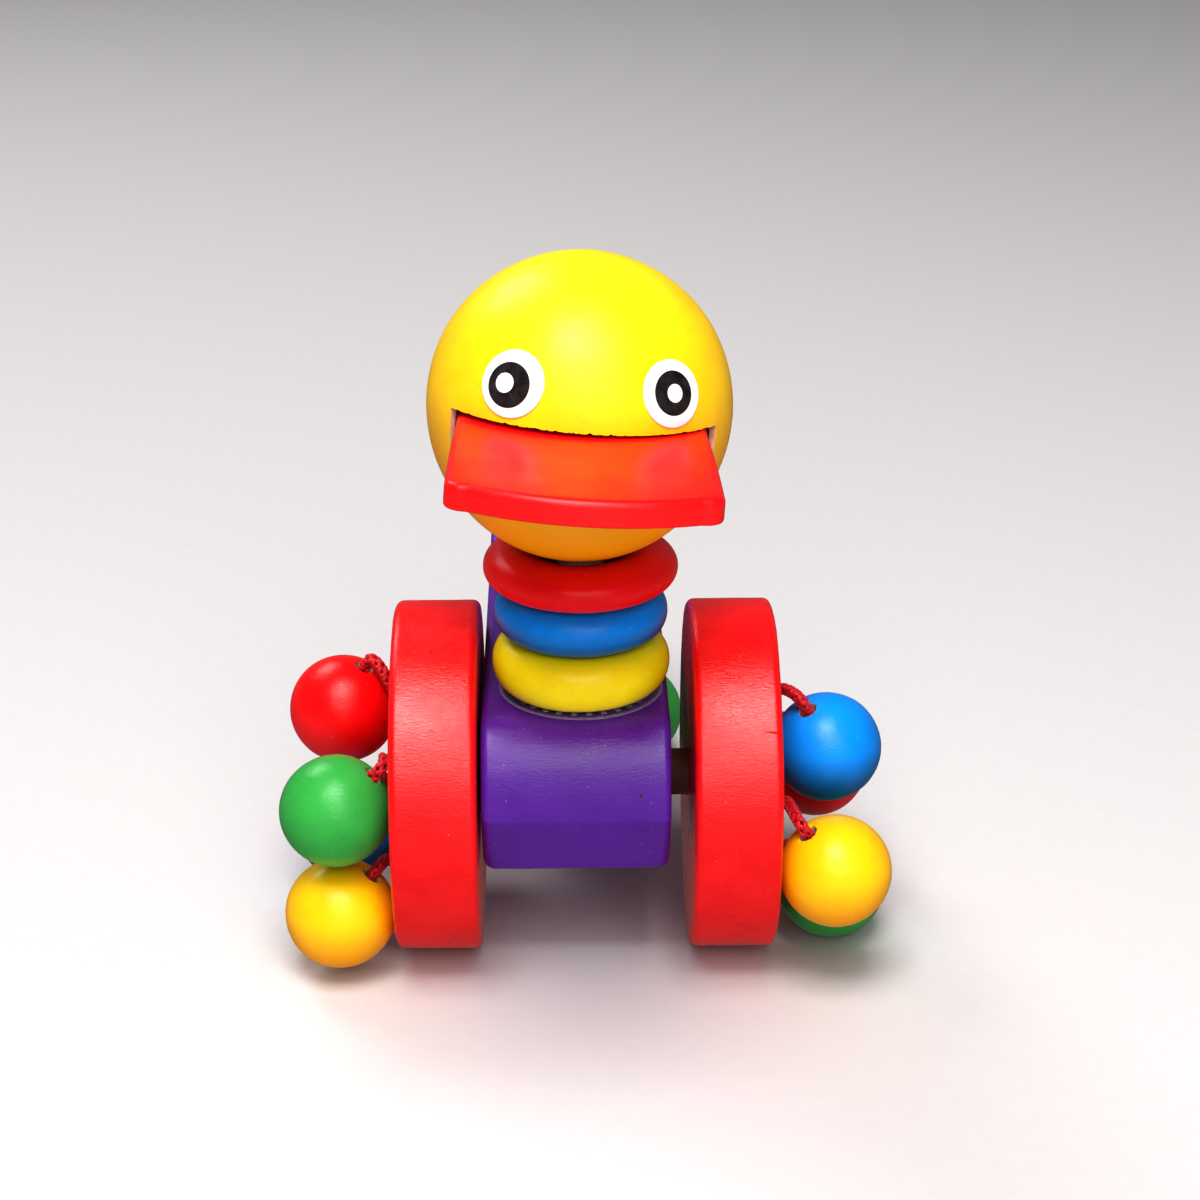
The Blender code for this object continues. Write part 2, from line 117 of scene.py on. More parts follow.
class Nodes:
    """Short calls for building one material's node tree."""

    def __init__(self, name):
        self.material = bpy.data.materials.new(name)
        self.material.use_nodes = True
        self.tree = self.material.node_tree
        self.shader = self.tree.nodes["Principled BSDF"]

    def put(self, socket, value):
        if isinstance(value, bpy.types.NodeSocket):
            self.tree.links.new(value, socket)
        else:
            socket.default_value = value

    def node(self, kind, inputs=(), **settings):
        node = self.tree.nodes.new(kind)
        for key, value in settings.items():
            setattr(node, key, value)
        for key, value in dict(inputs).items():
            self.put(node.inputs[key], value)
        return node

    def maths(self, operation, a, b=0.0, clamp=False):
        node = self.node("ShaderNodeMath", {0: a, 1: b}, operation=operation)
        node.use_clamp = clamp
        return node.outputs[0]

    def place(self, scale):
        """The piece's own coordinates in millimetres, divided by a size along each axis."""
        coordinates = self.node("ShaderNodeTexCoord").outputs["Object"]
        factors = tuple(1000 / size for size in scale)
        return self.node("ShaderNodeVectorMath", {0: coordinates, 1: factors},
                         operation="MULTIPLY").outputs[0]

    def noise(self, size, detail=3.0, roughness=0.55, distortion=0.0):
        """Noise whose grain has this size in millimetres along x, y and z."""
        inputs = {"Vector": self.place(size), "Scale": 1.0, "Detail": detail,
                  "Roughness": roughness, "Distortion": distortion}
        return self.node("ShaderNodeTexNoise", inputs).outputs[0]

    def facing(self):
        """The x, y and z parts of the surface's direction."""
        normal = self.node("ShaderNodeTexCoord").outputs["Normal"]
        return self.node("ShaderNodeSeparateXYZ", {0: normal}).outputs

    def remap(self, value, low, high, to_low=0.0, to_high=1.0):
        inputs = {"Value": value, "From Min": low, "From Max": high,
                  "To Min": to_low, "To Max": to_high}
        return self.node("ShaderNodeMapRange", inputs, clamp=True).outputs[0]

    def mix(self, factor, a, b):
        node = self.node("ShaderNodeMix", data_type="RGBA")
        self.put(node.inputs["Factor"], factor)
        for socket, value in ((node.inputs[6], a), (node.inputs[7], b)):
            self.put(socket, value if isinstance(value, bpy.types.NodeSocket) else (*value, 1.0))
        return node.outputs[2]

    def blend_values(self, factor, a, b):
        node = self.node("ShaderNodeMix", data_type="FLOAT")
        self.put(node.inputs[0], factor)
        self.put(node.inputs[2], a)
        self.put(node.inputs[3], b)
        return node.outputs[0]

    def specks(self, spacing, size, share):
        """Small round specks of one size in millimetres, kept at this share of their places."""
        cells = self.node("ShaderNodeTexVoronoi",
                          {"Vector": self.place((spacing,) * 3), "Scale": 1.0})
        near = self.remap(cells.outputs["Distance"], 0.0, size / spacing, 1.0, 0.0)
        tone = self.node("ShaderNodeSeparateColor", {0: cells.outputs["Color"]}).outputs[0]
        kept = self.maths("LESS_THAN", tone, share)
        return self.maths("MULTIPLY", near, kept)

    def bump(self, height_mm, strength=1.0):
        """Relief whose height is given in millimetres."""
        return self.node("ShaderNodeBump", {"Height": height_mm, "Distance": MM,
                                            "Strength": strength}).outputs[0]

    def finish(self, **values):
        for key, value in values.items():
            self.put(self.shader.inputs[key.replace("_", " ").title().replace("Ior", "IOR")], value)
        return self.material


def scaled(colour, factor):
    """A lighter or darker version of a linear colour."""
    return tuple(min(1.0, channel * factor) for channel in colour)


def painted_wood(name, colour, grain=(1.8, 0.45, 0.45), relief=0.05, roughness=0.31, coat=0.0,
                 faces=None, dust=0.05, deep=None, specular=0.34):
    """Satin paint over wood: grain telegraphing through, faint mottling, dust and tiny pits.

    The flanks and the underside are tinted towards the deep colour by the way the surface faces: painted shade.
    """
    n = Nodes(name)
    base = linear(colour)
    streaks = n.noise(grain, detail=4.0, roughness=0.6, distortion=0.4)
    if faces:
        side = n.remap(n.maths("ABSOLUTE", n.facing()[0]), 0.6, 0.9)
        streaks = n.blend_values(side, streaks, n.noise(faces, detail=4.0, roughness=0.6))
    peel = n.noise((0.28,) * 3, detail=2.0)
    mottle = n.noise((7.0, 7.0, 7.0), detail=2.0)
    dusty = n.specks(1.5, 0.15, dust * 3)
    pits = n.specks(4.0, 0.30, 0.05)
    height = n.maths("MULTIPLY", streaks, relief * 2)
    height = n.maths("ADD", height, n.maths("MULTIPLY", peel, 0.014))
    height = n.maths("SUBTRACT", height, n.maths("MULTIPLY", pits, 0.02))
    shade = n.mix(n.remap(mottle, 0.3, 0.7), scaled(base, 0.93), scaled(base, 1.05))
    shade = n.mix(n.remap(streaks, 0.30, 0.42, 0.16, 0.0), shade, scaled(base, 0.55))
    # painted shade: the flanks and underside mix towards the deep colour, by the way the surface faces
    if deep:
        facing = n.facing()
        flank = n.remap(n.maths("ABSOLUTE", facing[0]), 0.5, 1.0, 0.0, 0.4)
        under = n.remap(facing[2], 0.2, -0.6, 0.0, 1.0)
        shade = n.mix(n.maths("ADD", flank, under, clamp=True), shade, linear(deep))
    shade = n.mix(n.maths("MULTIPLY", dusty, 0.55), shade, (0.80, 0.78, 0.78))
    shade = n.mix(n.maths("MULTIPLY", pits, 0.7), shade, scaled(base, 0.2))
    rough = n.remap(mottle, 0.3, 0.7, roughness - 0.04, roughness + 0.05)
    return n.finish(base_color=shade, roughness=rough, normal=n.bump(height), coat_weight=coat,
                    coat_roughness=0.25, specular_ior_level=specular)


def bare_wood(name, colour, grain, roughness=0.7):
    """Unpainted wood with its own lines and pores."""
    n = Nodes(name)
    base = linear(colour)
    lines = n.noise(grain, detail=5.0, roughness=0.65, distortion=0.6)
    pores = n.noise(tuple(size * 0.4 for size in grain), detail=2.0)
    shade = n.mix(n.remap(lines, 0.3, 0.7), scaled(base, 0.62), scaled(base, 1.2))
    shade = n.mix(n.remap(pores, 0.28, 0.40, 0.5, 0.0), shade, scaled(base, 0.35))
    height = n.maths("MULTIPLY", lines, 0.05)
    return n.finish(base_color=shade, roughness=roughness, normal=n.bump(height))


def braided_fibre(name):
    """Soft polyester yarn: fine filaments along each strand and a slight sheen."""
    n = Nodes(name)
    base = linear("cord")
    filaments = n.noise((0.10, 0.10, 0.10), detail=3.0)
    shade = n.mix(n.remap(filaments, 0.3, 0.7), scaled(base, 0.55), scaled(base, 1.25))
    height = n.maths("MULTIPLY", filaments, 0.05)
    return n.finish(base_color=shade, roughness=0.42, normal=n.bump(height), sheen_weight=0.12,
                    sheen_roughness=0.4)


def sticker_print(name, colour, painted_sheen=0.0):
    """Glossy laminated print with faint scuffs, and soft blotches of a painted pinkish grey sheen."""
    n = Nodes(name)
    scuff = n.noise((0.25, 1.8, 0.25), detail=3.0)
    # painted sheen: soft blotches mixed towards a pinkish grey
    tint = n.remap(n.noise((2.0, 2.0, 2.0)), 0.3, 0.7, 0.0, painted_sheen)
    shade = n.mix(tint, colour, (0.80, 0.66, 0.66))
    rough = n.remap(scuff, 0.35, 0.7, 0.10, 0.24)
    return n.finish(base_color=shade, roughness=rough,
                    normal=n.bump(n.maths("MULTIPLY", scuff, 0.003)), coat_weight=0.12,
                    coat_roughness=0.10, specular_ior_level=0.4)


def clear_film(name, opacity):
    """Thin clear plastic, a little scratched, that mostly shows what lies under it."""
    n = Nodes(name)
    scratches = n.noise((0.15, 2.5, 1.0), detail=3.0)
    rough = n.remap(scratches, 0.4, 0.7, 0.10, 0.34)
    alpha = n.remap(scratches, 0.35, 0.75, opacity * 0.8, opacity * 1.4)
    return n.finish(base_color=(0.86, 0.84, 0.92, 1.0), roughness=rough, alpha=alpha, ior=1.46,
                    specular_ior_level=0.6, normal=n.bump(n.maths("MULTIPLY", scratches, 0.01)))


# ---------------------------------------------------------------- mesh helpers


def new_piece(name, verts, faces, materials, face_slots=None):
    """A mesh object in the scene, from world points, faces and a material slot for each face."""
    mesh = bpy.data.meshes.new(name)
    mesh.from_pydata([tuple(v) for v in verts], [], faces)
    for material in materials:
        mesh.materials.append(material)
    if face_slots is not None:
        mesh.polygons.foreach_set("material_index", face_slots)
    mesh.update()
    obj = bpy.data.objects.new(name, mesh)
    bpy.context.scene.collection.objects.link(obj)
    return obj


def grid_faces(rows, columns, wrap_rows=False, wrap_columns=False, start=0):
    """Quads over a rows by columns grid of vertices."""
    faces = []
    for i in range(rows if wrap_rows else rows - 1):
        below = (i + 1) % rows
        for j in range(columns if wrap_columns else columns - 1):
            right = (j + 1) % columns
            faces.append((start + i * columns + j, start + below * columns + j,
                          start + below * columns + right, start + i * columns + right))
    return faces


def turned(name, profile, steps, matrix, materials, closed=False, slot_of=None):
    """A turned piece: (radius, height) points, down the outer side, spun about the matrix's Z."""
    verts, rows = [], []
    for radius, height in profile:
        if radius < 1e-9:
            rows.append([len(verts)] * steps)
            verts.append(matrix @ Vector((0, 0, height)))
            continue
        rows.append(list(range(len(verts), len(verts) + steps)))
        for k in range(steps):
            angle = 2 * math.pi * k / steps
            round_axis = (radius * math.cos(angle), radius * math.sin(angle), height)
            verts.append(matrix @ Vector(round_axis))
    faces, slots = [], []
    count = len(rows)
    for i in range(count if closed else count - 1):
        upper, lower = rows[i], rows[(i + 1) % count]
        for k in range(steps):
            following = (k + 1) % steps
            ring = (upper[k], lower[k], lower[following], upper[following])
            face = tuple(dict.fromkeys(ring))
            faces.append(face)
            slots.append(slot_of(i) if slot_of else 0)
    return new_piece(name, verts, faces, materials, slots)


def arc(centre, radii, start, end, count):
    """Points on an ellipse arc, angles in degrees."""
    angles = np.radians(np.linspace(start, end, count))
    (x, y), (broad, tall) = centre, radii
    return [(x + broad * math.cos(a), y + tall * math.sin(a)) for a in angles]


def ripple(obj, height, size, offset=0.0, mask=None):
    """Push a mesh's points in and out along their normals by smooth noise of a size in metres."""
    shift = Vector((offset, offset * 0.7, -offset))
    normals = [v.normal.copy() for v in obj.data.vertices]
    for vertex, normal in zip(obj.data.vertices, normals):
        point = Vector((vertex.co.x / size[0], vertex.co.y / size[1], vertex.co.z / size[2]))
        amount = height * noise.noise(point + shift)
        if mask:
            amount *= mask(vertex.co)
        vertex.co += normal * amount
    obj.data.update()


def carve(obj, *cutters):
    """Cut shapes away for good; each cut takes its cutter's own material."""
    for cutter in cutters:
        boolean = obj.modifiers.new("carve", "BOOLEAN")
        boolean.operation = "DIFFERENCE"
        boolean.solver = "EXACT"
        boolean.material_mode = "TRANSFER"
        boolean.object = cutter
    bpy.context.view_layer.update()
    evaluated = obj.evaluated_get(bpy.context.evaluated_depsgraph_get())
    mesh = bpy.data.meshes.new_from_object(evaluated)
    obj.modifiers.clear()
    obj.data = mesh
    for cutter in cutters:
        bpy.data.objects.remove(cutter, do_unlink=True)


def face_outwards(obj, merge=0.0):
    """Turn every face of a closed piece outwards, after joining points nearer than merge."""
    shape = bmesh.new()
    shape.from_mesh(obj.data)
    if merge:
        bmesh.ops.remove_doubles(shape, verts=shape.verts, dist=merge)
    bmesh.ops.recalc_face_normals(shape, faces=shape.faces)
    shape.to_mesh(obj.data)
    shape.free()
    obj.data.update()


def settle(obj, body, nodes=(), sharp=38.0):
    """Shade a finished piece, give it its body, and hide the nodes it stands for."""
    obj.data.shade_smooth()
    obj.data.set_sharp_from_angle(angle=math.radians(sharp))
    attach(obj, body)
    if nodes:
        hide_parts(*nodes)
    return obj


def centre_of(node):
    """The middle of a CAD node's box."""
    low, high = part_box(node)
    return (low + high) / 2


def along_x(place, side=1):
    """A matrix at a place whose Z runs along the row's X, outwards on the given side."""
    return Matrix.Translation(place) @ Matrix.Rotation(math.radians(90 * side), 4, "Y")


def reamer(name, matrix, radius, depth, material, flare=0.0, steps=40, seed=0):
    """A drill-shaped cutter that starts above its mouth, flared unevenly where paint chipped."""
    mouth = [(radius + flare * 3, 0.8 * MM), (radius + flare, 0.10 * MM), (radius, -0.25 * MM)]
    profile = [(0, 0.8 * MM)] + mouth + [(radius, -depth * 0.5), (radius, -depth), (0, -depth)]
    cutter = turned(name, profile, steps, matrix, [material])
    if flare:
        inverse = matrix.inverted()
        for vertex in cutter.data.vertices:
            local = inverse @ vertex.co
            if local.z > 0 and local.xy.length > radius:
                ragged = noise.noise(local * 900 + Vector((seed, 0, 0))) * flare * 2.2
                local.xy *= 1 + ragged / local.xy.length
                vertex.co = matrix @ local
    return cutter


def scar(obj, start, aim, along, size, material):
    """A wedge that cuts one thin tapering mark where a line from start meets the piece."""
    bpy.context.view_layer.update()
    _, place, normal, _ = obj.ray_cast(start, aim)
    length, width, depth = size
    along = (along - normal * along.dot(normal)).normalized()
    across = normal.cross(along)
    corners = [along * length / 2, across * width / 2, -along * length / 2, -across * width / 2]
    corners += [normal * depth, -normal * depth]
    verts = [place + corner for corner in corners]
    faces = [(i, (i + 1) % 4, 4) for i in range(4)] + [((i + 1) % 4, i, 5) for i in range(4)]
    return new_piece("scar", verts, faces, [material])


# ---------------------------------------------------------------- materials

TURNED_GRAIN = (0.9, 0.9, 0.35)
# deep= paints shade on the flanks and undersides of the head and the yellow beads
paint_head = painted_wood("head_paint", "yellow", (2.2, 2.2, 1.0), relief=0.014, roughness=0.36,
                          dust=0.01, deep="orange_painted_shade")
paint_yellow = painted_wood("yellow_paint", "bead_yellow", TURNED_GRAIN, relief=0.025, deep="orange_painted_shade")
# the rings' yellow is lighter than the head's: painted light against the head's shadow
paint_ring = painted_wood("yellow_ring_paint", "lemon_painted_light", TURNED_GRAIN, relief=0.02)
paint_red = painted_wood("red_paint", "red", TURNED_GRAIN, relief=0.025)
# deep= paints shade on the flanks and undersides of the blue beads and the blue ring
paint_blue = painted_wood("blue_paint", "blue", TURNED_GRAIN, relief=0.03, deep="teal_painted_shade")
paint_green = painted_wood("green_paint", "green", TURNED_GRAIN, relief=0.03)
paint_wheel = painted_wood("wheel_paint", "red", (1.1, 0.40, 0.30), relief=0.04, roughness=0.29,
                           faces=(1.0, 0.45, 6.0), dust=0.05, specular=0.6)
paint_body = painted_wood("body_paint", "purple", (1.3, 0.55, 0.32), relief=0.035, roughness=0.30,
                          faces=(1.0, 7.0, 0.5), dust=0.10, specular=0.6)
paint_keel = painted_wood("keel_paint", "purple", (1.0, 2.0, 0.5), relief=0.03)
paint_beak = painted_wood("beak_paint", "beak", (5.0, 5.0, 0.22), relief=0.020, roughness=0.38,
                          coat=0.16, dust=0.01)
wood_raw = bare_wood("raw_wood", "raw_wood", (0.35, 0.35, 3.0))
wood_axle = bare_wood("axle_wood", "axle", (4.0, 0.30, 0.30), roughness=0.6)
cord_fibre = braided_fibre("red_cord")
# both stickers carry a painted sheen, strongest on the white
eye_white = sticker_print("eye_white", (0.88, 0.87, 0.87), painted_sheen=0.25)
eye_black = sticker_print("eye_black", (0.006, 0.005, 0.006), painted_sheen=0.035)
film = clear_film("clear_plastic", 0.06)
# the lip and the ticks take this more opaque pale film: real moulded shapes with a painted highlight on them
film_edge = clear_film("clear_plastic_edge", 0.17)
PAINT = {"red": paint_red, "yellow": paint_yellow, "blue": paint_blue, "green": paint_green}


# ---------------------------------------------------------------- body block


def rounded_corner(before, corner, after, radius, count=5):
    """A small arc of points in place of a corner."""
    before, corner, after = Vector(before), Vector(corner), Vector(after)
    back, ahead = (before - corner).normalized(), (after - corner).normalized()
    reach = radius / math.tan(back.angle(ahead) / 2)
    return [tuple(p) for p in interpolate_bezier(
        corner + back * reach, corner + back * reach * 0.4, corner + ahead * reach * 0.4,
        corner + ahead * reach, count)]


def body_outline():
    """The block's side outline as (y, z), from the chest's crease over the back and round again."""
    low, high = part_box("body_block")
    mount = Vector(frame["record"]["mounts"][0]["pos_m"])
    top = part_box("neck_washer")[0].z - 0.2 * MM
    crease = (low.y, 2 * mount.z - low.z)
    foot = (2 * mount.y - low.y, low.z)
    chest_y = AXLE.y - 17.8 * MM
    chest = arc((chest_y, crease[1]), (chest_y - crease[0], top - crease[1]), 180, 90, 30)
    flat_end = AXLE.y + 40 * MM
    flat = [(y, top) for y in np.linspace(chest_y, flat_end, 56)[1:-1]]
    # The flat back ends at flat_end, then curves up to the tail's round tip
    tip_r = 3.0 * MM
    tip_y, tip_z = high.y - tip_r, high.z - tip_r * 0.97
    rise = interpolate_bezier(
        Vector((flat_end, top)), Vector((flat_end + 18 * MM, top)),
        Vector((tip_y - 10.9 * MM, top + 1.3 * MM)), Vector((tip_y - 0.9 * MM, top + 6.8 * MM)), 44)
    tip = arc((tip_y, tip_z), (tip_r, tip_r), 100, 0, 10)
    # The stern curves down and forwards from the tip to the heel
    heel = (AXLE.y + 73 * MM, low.z)
    stern = interpolate_bezier(
        Vector((high.y, tip_z - 2.2 * MM)), Vector((high.y - 0.6 * MM, low.z + 20 * MM)),
        Vector((heel[0] + 7 * MM, low.z + 8 * MM)), Vector(heel), 40)
    stern = [tuple(p) for p in stern][:-1]
    heel_arc = rounded_corner(stern[-1], heel, foot, 2.3 * MM, 9)
    belly = [(y, low.z) for y in np.linspace(heel[0], foot[0], 92)[2:-2]]
    foot_arc = rounded_corner(heel, foot, crease, 2.3 * MM, 9)
    facet = [tuple(np.array(foot) + (np.array(crease) - np.array(foot)) * t)
             for t in np.linspace(0.21, 0.94, 12)]
    crease_arc = rounded_corner(facet[-1], crease, chest[1], 1.4 * MM)
    outline = chest[2:] + flat + [tuple(p) for p in rise] + tip + stern[:-3] + heel_arc
    outline += belly + foot_arc + facet + crease_arc
    kept = [outline[0]]
    for point in outline[1:]:
        if math.dist(point, kept[-1]) > 0.08 * MM:
            kept.append(point)
    return np.array(kept)


def make_body():
    """The sawn block: the side outline carried across with rounded edges, drilled and slotted."""
    outline = body_outline()
    low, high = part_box("body_block")
    middle, half, edge, foot_edge = (low.x + high.x) / 2, (high.x - low.x) / 2, 1.3 * MM, 2.1 * MM
    ahead = np.roll(outline, -1, 0) - np.roll(outline, 1, 0)
    ahead /= np.linalg.norm(ahead, axis=1)[:, None]
    outward = np.stack([-ahead[:, 1], ahead[:, 0]], 1)
    turns = np.radians(np.linspace(90, 0, 9))
    verts = []
    for point, normal in zip(outline, outward):
        at_foot = math.exp(-((point[1] - low.z) / (4 * MM)) ** 2)
        soft = edge + (foot_edge - edge) * at_foot
        left = [(-half + soft - soft * math.sin(a), soft * (1 - math.cos(a))) for a in turns]
        inner = [(x, 0.0) for x in np.linspace(-half + soft, half - soft, 34)[1:-1]]
        columns = left + inner + [(-x, inset) for x, inset in reversed(left)]
        for x, inset in columns:
            y, z = point - normal * inset
            verts.append((middle + x, y, z))
    rows, width = len(outline), len(columns)
    faces = grid_faces(rows, width, wrap_rows=True)
    faces.append(tuple(i * width for i in range(rows)))
    faces.append(tuple(i * width + width - 1 for i in reversed(range(rows))))
    body = new_piece("body_block_painted", verts, faces, [paint_body, wood_raw])
    face_outwards(body)

    def off_sides(point):
        return 1.0 if abs(point.x - middle) < half - 0.2 * MM else 0.0

    ripple(body, 0.10 * MM, (0.016, 0.009, 0.009), 3.0, off_sides)
    ripple(body, 0.035 * MM, (0.005, 0.0022, 0.0018), 9.0, off_sides)
    marks = chest_marks(body, middle, half)
    bore = reamer("axle_bore", along_x(Vector((middle - half, AXLE.y, AXLE.z)), -1),
                  DOWEL_BORE, 2 * half + 0.8 * MM, wood_raw, flare=0.06 * MM, steps=64)
    neck_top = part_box("neck_washer")[0].z - 0.2 * MM
    depth = neck_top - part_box("neck_dowel")[0].z + 0.3 * MM
    socket = reamer("neck_bore", Matrix.Translation((NECK.x, NECK.y, neck_top)), DOWEL_BORE, depth,
                    wood_raw, steps=64)
    keel_low, keel_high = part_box("rear_keel")
    gap = 0.3 * MM
    slot = box_cutter("keel_slot", (keel_low.x - gap, keel_low.y - gap, low.z - 1 * MM),
                      (keel_high.x + gap, keel_high.y + gap, keel_high.z + gap), wood_raw)
    carve(body, bore, socket, slot, *marks)
    settle(body, "body", ["body_block"])


def box_cutter(name, low, high, material):
    """A plain box cutter from one corner to the other."""
    shape = bmesh.new()
    bmesh.ops.create_cube(shape, size=1)
    low, high = Vector(low), Vector(high)
    bmesh.ops.scale(shape, vec=high - low, verts=shape.verts)
    bmesh.ops.translate(shape, vec=(high + low) / 2, verts=shape.verts)
    mesh = bpy.data.meshes.new(name)
    shape.to_mesh(mesh)
    shape.free()
    mesh.materials.append(material)
    obj = bpy.data.objects.new(name, mesh)
    bpy.context.scene.collection.objects.link(obj)
    return obj


def chest_marks(body, middle, half):
    """Handling marks on the chest: one small nick and one short scratch near the right edge."""
    ahead, beyond = Vector((0, 1, 0)), AXLE.y - 60 * MM
    nick = Vector((middle + half * 0.68, beyond, AXLE.z + 8.5 * MM))
    scratch = Vector((middle + half * 0.88, beyond, AXLE.z + 9.3 * MM))
    nick_size = (1.0 * MM, 0.5 * MM, 0.30 * MM)
    scratch_size = (2.6 * MM, 0.24 * MM, 0.10 * MM)
    return [scar(body, nick, ahead, Vector((0.3, 0, 1)), nick_size, wood_axle),
            scar(body, scratch, ahead, Vector((1, 0, -0.1)), scratch_size, paint_body)]


# ---------------------------------------------------------------- wheels and axles


def make_wheel(side_name, side):
    """A thick turned wheel with eased rims, bored for the axle and drilled for four cords."""
    node = side_name + "_wheel"
    low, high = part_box(node)
    radius, half = (high.z - low.z) / 2, (high.x - low.x) / 2
    edge, bore = 1.3 * MM, 4.25 * MM
    flat = radius - edge
    upper = [(r, half) for r in np.linspace(bore, flat, 13)]
    rim_top = arc((flat, half - edge), (edge, edge), 90, 0, 8)[1:]
    wall = [(radius, z) for z in np.linspace(half - edge, edge - half, 34)[1:-1]]
    rim_bottom = arc((flat, edge - half), (edge, edge), 0, -90, 8)[:-1]
    lower = [(r, -half) for r in np.linspace(flat, bore, 13)]
    tube = [(bore, z) for z in np.linspace(-half, half, 6)[1:-1]]
    profile = upper + rim_top + wall + rim_bottom + lower + tube
    tube_start = len(profile) - len(tube) - 1
    wheel = turned(node + "_painted", profile, 220, along_x(centre_of(node), side),
                   [paint_wheel, wood_raw], closed=True, slot_of=lambda i: int(i >= tube_start))

    def on_rim(point):
        distance = math.hypot(point.y - AXLE.y, point.z - AXLE.z)
        return min(1.0, max(0.0, (distance - flat + 1 * MM) / (1.5 * MM)))

    ripple(wheel, 0.11 * MM, (0.018, 0.011, 0.011), 20.0 + side, on_rim)
    ripple(wheel, 0.035 * MM, (0.0045, 0.0018, 0.0016), 31.0 + side, on_rim)
    cutters = wheel_marks(wheel, radius) if side > 0 else []
    for name, joint in JOINTS.items():
        if name.startswith(side_name) and name.endswith("_bead_swing"):
            mouth = along_x(Vector(joint["pos_m"]), side)
            cutters.append(reamer(name + "_hole", mouth, CORD_HOLE, 5.8 * MM, wood_raw,
                                  flare=0.10 * MM, seed=len(cutters)))
    carve(wheel, *cutters)
    settle(wheel, "front_wheels", [node])


def wheel_marks(wheel, radius):
    """A dented line on the right wheel's rim near its outer edge, and a crack in its inner face with painted shade
    on its walls.
    """
    low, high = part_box("right_wheel")
    clock = 0.66  # radians above the rim's foremost line
    outward = Vector((0, -math.cos(clock), math.sin(clock)))
    rim = Vector((high.x - 1.6 * MM, AXLE.y, AXLE.z)) + outward * radius * 1.5
    crack = Vector((low.x - 10 * MM, AXLE.y - radius * 0.70, AXLE.z + radius * 0.36))
    dent_size = (3.6 * MM, 0.42 * MM, 0.18 * MM)
    crack_size = (8 * MM, 0.7 * MM, 0.8 * MM)
    # the crack's walls take the dark axle wood rather than the raw wood: bare wood darkened as painted shade
    return [scar(wheel, rim, -outward, Vector((1, 0, -0.12)), dent_size, paint_wheel),
            scar(wheel, crack, Vector((1, 0, 0)), Vector((0, 0.1, 1)), crack_size, wood_axle)]


def make_rod(node, axis, body, material, chamfer=0.45 * MM):
    """A dowel with eased ends, in the place of its CAD node."""
    low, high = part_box(node)
    spans = high - low
    length = spans.x if axis == "x" else spans.z
    radius, half = spans.y / 2, length / 2
    ends = arc((radius - chamfer, half - chamfer), (chamfer, chamfer), 90, 0, 5)
    wall = [(radius, z) for z in np.linspace(half - chamfer, chamfer - half, 40)[1:-1]]
    lower = [(r, -z) for r, z in reversed(ends)]
    top = [(0, half), (radius * 0.5, half)]
    profile = top + ends + wall + lower + [(radius * 0.5, -half), (0, -half)]
    matrix = along_x(centre_of(node)) if axis == "x" else Matrix.Translation(centre_of(node))
    rod = turned(node + "_wood", profile, 72, matrix, [material])
    ripple(rod, 0.03 * MM, (0.006, 0.0012, 0.0012) if axis == "x" else (0.0012, 0.0012, 0.006))
    return settle(rod, body, [node])


def make_rear_balls():
    """The two small balls that carry the tail, bored through for their axle."""
    for side_name in ("left", "right"):
        node = "rear_ball_" + side_name
        low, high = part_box(node)
        radius, bore = (high.y - low.y) / 2 * 1.004, 2.3 * MM
        rim = math.degrees(math.asin(bore / radius))
        ball = arc((0, 0), (radius, radius), 90 - rim, rim - 90, 60)
        tube = [(bore, z) for z in np.linspace(ball[-1][1], ball[0][1], 6)[1:-1]]
        count = len(ball)
        obj = turned(node + "_painted", ball + tube, 96, along_x(centre_of(node)),
                     [paint_green, wood_raw], closed=True, slot_of=lambda i: int(i >= count - 1))
        ripple(obj, 0.05 * MM, (0.006, 0.006, 0.006), 44.0)
        settle(obj, "rear_balls", [node])


# ---------------------------------------------------------------- beads on cords


def node_points(node):
    """The different corner points of a CAD node."""
    points = np.array([v.co for v in frame["nodes"][node].data.vertices], float)
    return np.unique(points.round(6), axis=0)


def bead_pose(node):
    """Centre, radius and hole direction of a bead, read from its CAD solid."""
    points = node_points(node)
    guess = (points.min(0) + points.max(0)) / 2
    for _ in range(3):
        reach = np.linalg.norm(points - guess, axis=1)
        shell = points[reach > np.median(reach) * 0.97]
        system = np.c_[2 * shell, np.ones(len(shell))]
        answer = np.linalg.lstsq(system, (shell ** 2).sum(1), rcond=None)[0]
        guess = answer[:3]
    radius = math.sqrt(answer[3] + guess @ guess)
    inside = points[np.linalg.norm(points - guess, axis=1) < radius * 0.6]
    direction = Vector(inside.mean(0) - guess).normalized()
    return Vector(guess), radius, direction


